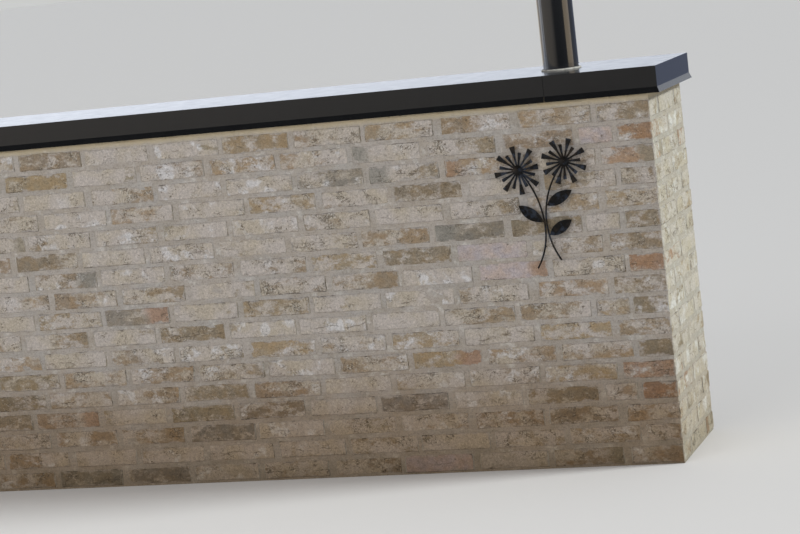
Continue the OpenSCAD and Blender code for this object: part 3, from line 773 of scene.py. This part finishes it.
    colour = weathered(tree, crackShaded.outputs[2], place)
    height = skinMask
    for part, rise in ((fine, 0.9), (patch, 1.6), (pitShadeMask, -1.3), (foldShadeMask, -1.3), (crackShadeMask, -1.2)):
        height = addNode(tree, "Math", {0: part, 1: rise, 2: height}, operation="MULTIPLY_ADD")
    bump = addNode(tree, "Bump", {"Height": height, "Strength": 0.8, "Distance": 1.3 * mm})
    shader = addNode(tree, "BsdfPrincipled", {"Base Color": colour, "Roughness": 0.92, "Normal": bump})
    addNode(tree, "OutputMaterial", {"Surface": shader})
    return material


def limeMortar():
    # Lime and sand mortar, struck flush and rubbed with a bag: sandy, cloudy and without an edge.
    material, tree, place = newMaterial("bag-rubbed lime mortar")
    cloud = addNode(tree, "TexNoise", {"Vector": place, "Scale": 1 / 0.06, "Detail": 5.0, "Roughness": 0.62})
    sand = addNode(tree, "TexNoise", {"Vector": place, "Scale": 1 / 0.0055, "Detail": 4.0, "Roughness": 0.72,
                                      "Distortion": 0.8})      # drawn as coarse as on the bricks
    paleAt = addNode(tree, "MapRange", {"Value": cloud, "From Min": 0.62, "From Max": 0.36})
    paste = addNode(tree, "Mix", {0: paleAt, 6: linear(mortar["paste"]), 7: linear(mortar["sand"])},
                    data_type="RGBA")
    batch = addNode(tree, "TexNoise", {"Vector": place, "Scale": 1 / 0.16, "Detail": 3.0})
    coolAt = addNode(tree, "MapRange", {"Value": batch, "From Min": 0.46, "From Max": 0.58})
    cooling = addNode(tree, "Mix", {0: coolAt, 4: (1.0, 1.0, 1.0), 5: mortar["cool"]}, data_type="VECTOR")
    batched = addNode(tree, "VectorMath", {0: paste.outputs[2], 1: cooling.outputs[1]}, operation="MULTIPLY")

    # coarse sand grains, and marks of the rubbing that run along
    rubPlace = addNode(tree, "Mapping", {"Vector": place, "Scale": (1 / 0.045, 1 / 0.045, 1 / 0.0045)})
    rub = addNode(tree, "TexNoise", {"Vector": rubPlace, "Scale": 1.0, "Detail": 3.0, "Roughness": 0.6})
    grainAt = addNode(tree, "MapRange", {"Value": sand, "From Min": 0.54, "From Max": 0.72, "To Max": 0.7})
    grain = addNode(tree, "Mix", {0: grainAt, 6: batched, 7: linear(mortar["stain"])}, data_type="RGBA")
    limeNoise = addNode(tree, "TexNoise", {"Vector": place, "Scale": 1 / 0.035, "Detail": 4.0,
                                           "Roughness": 0.6})
    limeAt = addNode(tree, "MapRange", {
        "Value": limeNoise, "From Min": 0.56, "From Max": 0.68, "To Max": 0.6})
    limed = addNode(tree, "Mix", {0: limeAt, 6: grain.outputs[2], 7: linear(mortar["lime"])},
                    data_type="RGBA")
    sandShade = addNode(tree, "Math", {0: sand, 1: 1.75, 2: -0.025}, operation="MULTIPLY_ADD")
    shade = addNode(tree, "Math", {0: rub, 1: 0.40, 2: sandShade}, operation="MULTIPLY_ADD")
    shaded = addNode(tree, "VectorMath", {0: limed.outputs[2], "Scale": shade}, operation="SCALE")
    colour = weathered(tree, shaded.outputs[0], place)
    uneven = addNode(tree, "Math", {0: cloud, 1: 2.5, 2: sand}, operation="MULTIPLY_ADD")
    height = addNode(tree, "Math", {0: grainAt, 1: -0.8, 2: uneven}, operation="MULTIPLY_ADD")
    bump = addNode(tree, "Bump", {"Height": height, "Strength": 0.8, "Distance": 1.2 * mm})
    shader = addNode(tree, "BsdfPrincipled", {"Base Color": colour, "Roughness": 0.94, "Normal": bump})
    addNode(tree, "OutputMaterial", {"Surface": shader})
    return material


metalLook = {
    "coping": "#131314", "dust": "#8b8b88", "post": "#151516", "galvanised": "#8e9194",
    # the blue is a painted reflection of the sky on the blackened steel
    "wrought": "#33312f", "wroughtBrown": "#4e4339", "wroughtSkySheen": "#4d5460",
}


def coatedAluminium():
    # Folded aluminium with a satin polyester powder coat: near black, with a faint orange peel that
    # softens what it mirrors, and dust that settles on its flat top.
    material, tree, place = newMaterial("powder-coated aluminium")
    facing = addNode(tree, "SeparateXYZ", {0: addNode(tree, "NewGeometry").outputs["Normal"]})
    cloud = addNode(tree, "TexNoise", {"Vector": place, "Scale": 1 / 0.05, "Detail": 6.0, "Roughness": 0.7})
    runPlace = addNode(tree, "Mapping", {"Vector": place, "Scale": (1 / 0.012, 1 / 0.012, 1 / 0.14)})
    runs = addNode(tree, "TexNoise", {"Vector": runPlace, "Scale": 1.0, "Detail": 3.0, "Roughness": 0.6})
    up = addNode(tree, "MapRange", {"Value": facing.outputs["Z"], "From Min": 0.5, "From Max": 0.9,
                                    "To Min": 0.015, "To Max": 0.13})
    spread = addNode(tree, "Math", {0: cloud, 1: runs}, operation="ADD")
    patchy = addNode(tree, "MapRange", {"Value": spread, "From Min": 0.75, "From Max": 1.25, "To Min": 0.5})
    dustAt = addNode(tree, "Math", {0: up, 1: patchy}, operation="MULTIPLY")
    colour = addNode(tree, "Mix", {0: dustAt, 6: linear(metalLook["coping"]), 7: linear(metalLook["dust"])},
                     data_type="RGBA")
    rough = addNode(tree, "MapRange", {"Value": cloud, "From Min": 0.3, "From Max": 0.7,
                                       "To Min": 0.15, "To Max": 0.19})
    peel = addNode(tree, "TexNoise", {"Vector": place, "Scale": 1 / 0.004, "Detail": 1.0})
    bump = addNode(tree, "Bump", {"Height": peel, "Strength": 0.05, "Distance": 0.3 * mm})
    shader = addNode(tree, "BsdfPrincipled", {
        "Base Color": colour.outputs[2], "Roughness": rough, "Normal": bump})
    addNode(tree, "OutputMaterial", {"Surface": shader})
    return material


def coatedSteel():
    # Steel tube with a glossy powder coat: dark, smooth, with soft long reflections and faint runs.
    material, tree, place = newMaterial("powder-coated steel tube")
    wipePlace = addNode(tree, "Mapping", {"Vector": place, "Scale": (1 / 0.010, 1 / 0.010, 1 / 0.25)})
    wipe = addNode(tree, "TexNoise", {"Vector": wipePlace, "Scale": 1.0, "Detail": 3.0, "Roughness": 0.6})
    rough = addNode(tree, "MapRange", {"Value": wipe, "From Min": 0.3, "From Max": 0.7,
                                       "To Min": 0.09, "To Max": 0.17})
    peel = addNode(tree, "TexNoise", {"Vector": place, "Scale": 1 / 0.006, "Detail": 1.0})
    bump = addNode(tree, "Bump", {"Height": peel, "Strength": 0.05, "Distance": 0.4 * mm})
    shader = addNode(tree, "BsdfPrincipled", {
        "Base Color": linear(metalLook["post"]), "Roughness": rough, "Coat Weight": 0.4,
        "Coat Roughness": 0.06, "Normal": bump})
    addNode(tree, "OutputMaterial", {"Surface": shader})
    return material


def galvanisedSteel():
    # Steel sheet dipped in zinc: cool grey with the flat, feathery spangle of the zinc crystals.
    material, tree, place = newMaterial("hot-dip galvanised steel")
    spangle = addNode(tree, "TexVoronoi", {"Vector": place, "Scale": 1 / 0.012})
    tone = addNode(tree, "SeparateXYZ", {0: spangle.outputs["Color"]})
    rough = addNode(tree, "MapRange", {"Value": tone.outputs["X"], "To Min": 0.32, "To Max": 0.55})
    shine = addNode(tree, "MapRange", {"Value": tone.outputs["Y"], "To Min": 0.86, "To Max": 1.06})
    colour = addNode(tree, "VectorMath", {0: linear(metalLook["galvanised"])[:3], "Scale": shine},
                     operation="SCALE")
    shader = addNode(tree, "BsdfPrincipled", {"Base Color": colour, "Metallic": 1.0, "Roughness": rough})
    addNode(tree, "OutputMaterial", {"Surface": shader})
    return material


def wroughtSteel():
    # Mild steel cut, hammered and blackened in oil: near black with brown bloom and patches of painted blue
    # reflection of the sky, and shallow hammer marks that break up what little it mirrors.
    material, tree, place = newMaterial("hammered blackened steel")
    bloom = addNode(tree, "TexNoise", {"Vector": place, "Scale": 1 / 0.022, "Detail": 3.0, "Roughness": 0.6})
    brownAt = addNode(tree, "MapRange", {"Value": bloom, "From Min": 0.54, "From Max": 0.68, "To Max": 0.7})
    # blue patches: a painted reflection of the sky
    skySheenAt = addNode(tree, "MapRange", {"Value": bloom, "From Min": 0.50, "From Max": 0.36, "To Max": 0.9})
    brown = addNode(tree, "Mix", {0: brownAt, 6: linear(metalLook["wrought"]),
                                  7: linear(metalLook["wroughtBrown"])}, data_type="RGBA")
    colour = addNode(tree, "Mix", {0: skySheenAt, 6: brown.outputs[2], 7: linear(metalLook["wroughtSkySheen"])},
                     data_type="RGBA")
    hammer = addNode(tree, "TexVoronoi", {"Vector": place, "Scale": 1 / 0.009}, feature="SMOOTH_F1")
    scale = addNode(tree, "TexNoise", {"Vector": place, "Scale": 1 / 0.0025, "Detail": 2.0})
    height = addNode(tree, "Math", {0: scale, 1: 0.25, 2: hammer.outputs["Distance"]},
                     operation="MULTIPLY_ADD")
    rough = addNode(tree, "MapRange", {"Value": scale, "From Min": 0.3, "From Max": 0.7,
                                       "To Min": 0.34, "To Max": 0.52})
    bump = addNode(tree, "Bump", {"Height": height, "Strength": 0.45, "Distance": 1.2 * mm})
    shader = addNode(tree, "BsdfPrincipled", {"Base Color": colour.outputs[2], "Metallic": 0.8,
                                              "Roughness": rough, "Normal": bump})
    addNode(tree, "OutputMaterial", {"Surface": shader})
    return material


# the darkest tone is grime on the sealant, and painted shade in the air holes of the concrete
fillLook = {"concrete": "#8f8b84", "concretePale": "#a19d95", "sealant": "#b9b4a9", "dirtAndHoleShade": "#6a655c"}


def castConcrete():
    # Concrete poured between the facings: grey cement with pale bloom and small air holes, painted dark as
    # the shade inside them.
    material, tree, place = newMaterial("cast concrete")
    cloud = addNode(tree, "TexNoise", {"Vector": place, "Scale": 1 / 0.10, "Detail": 6.0, "Roughness": 0.65})
    bloom = addNode(tree, "MapRange", {"Value": cloud, "From Min": 0.4, "From Max": 0.65})
    paste = addNode(tree, "Mix", {0: bloom, 6: linear(fillLook["concrete"]),
                                  7: linear(fillLook["concretePale"])}, data_type="RGBA")
    holes = addNode(tree, "TexVoronoi", {"Vector": place, "Scale": 1 / 0.018})
    hole = addNode(tree, "MapRange", {
        "Value": holes.outputs["Distance"], "From Min": 0.16, "From Max": 0.08})
    # the air holes are painted dark, as the shade inside them
    colour = addNode(tree, "Mix", {0: hole, 6: paste.outputs[2], 7: linear(fillLook["dirtAndHoleShade"])},
                     data_type="RGBA")
    bump = addNode(tree, "Bump", {"Height": hole, "Strength": 0.6, "Distance": 1.5 * mm}, invert=True)
    shader = addNode(tree, "BsdfPrincipled", {"Base Color": colour.outputs[2], "Roughness": 0.9,
                                              "Normal": bump})
    addNode(tree, "OutputMaterial", {"Surface": shader})
    return material


def tooledSealant():
    # Polyurethane sealant drawn round with a wet finger: dull stone colour, lumpy, with grime in patches.
    material, tree, place = newMaterial("tooled polyurethane sealant")
    lump = addNode(tree, "TexNoise", {"Vector": place, "Scale": 1 / 0.012, "Detail": 4.0, "Roughness": 0.6})
    dirtAt = addNode(tree, "MapRange", {"Value": lump, "From Min": 0.50, "From Max": 0.64, "To Max": 0.8})
    colour = addNode(tree, "Mix", {0: dirtAt, 6: linear(fillLook["sealant"]),
                                   7: linear(fillLook["dirtAndHoleShade"])}, data_type="RGBA")
    bump = addNode(tree, "Bump", {"Height": lump, "Strength": 0.8, "Distance": 2.0 * mm})
    shader = addNode(tree, "BsdfPrincipled", {"Base Color": colour.outputs[2], "Roughness": 0.6,
                                              "Normal": bump})
    addNode(tree, "OutputMaterial", {"Surface": shader})
    return material


def dress(words, material):
    for name in nodes:
        if any(word in name for word in words):
            slots = nodes[name].data.materials
            slots.clear()
            slots.append(material)


bpy.context.scene.view_settings.view_transform = "Standard"
placeCamera()
layFloor()
lightSurroundings()
hangLamps()
print("camera and studio ready")

joinBricks(layBricks(), mouldedBrick())
print("bricks laid")
layMortar(limeMortar())
print("mortar laid")
dress(["coping", "splice"], coatedAluminium())
dress(["bearer"], galvanisedSteel())
dress(["post", "base_plate", "head_plate"], coatedSteel())
runSealant(tooledSealant())
dress(["core"], castConcrete())
dress(["stem", "leaf", "rays", "hub", "pins"], wroughtSteel())
print("metal, sealant and concrete finished")
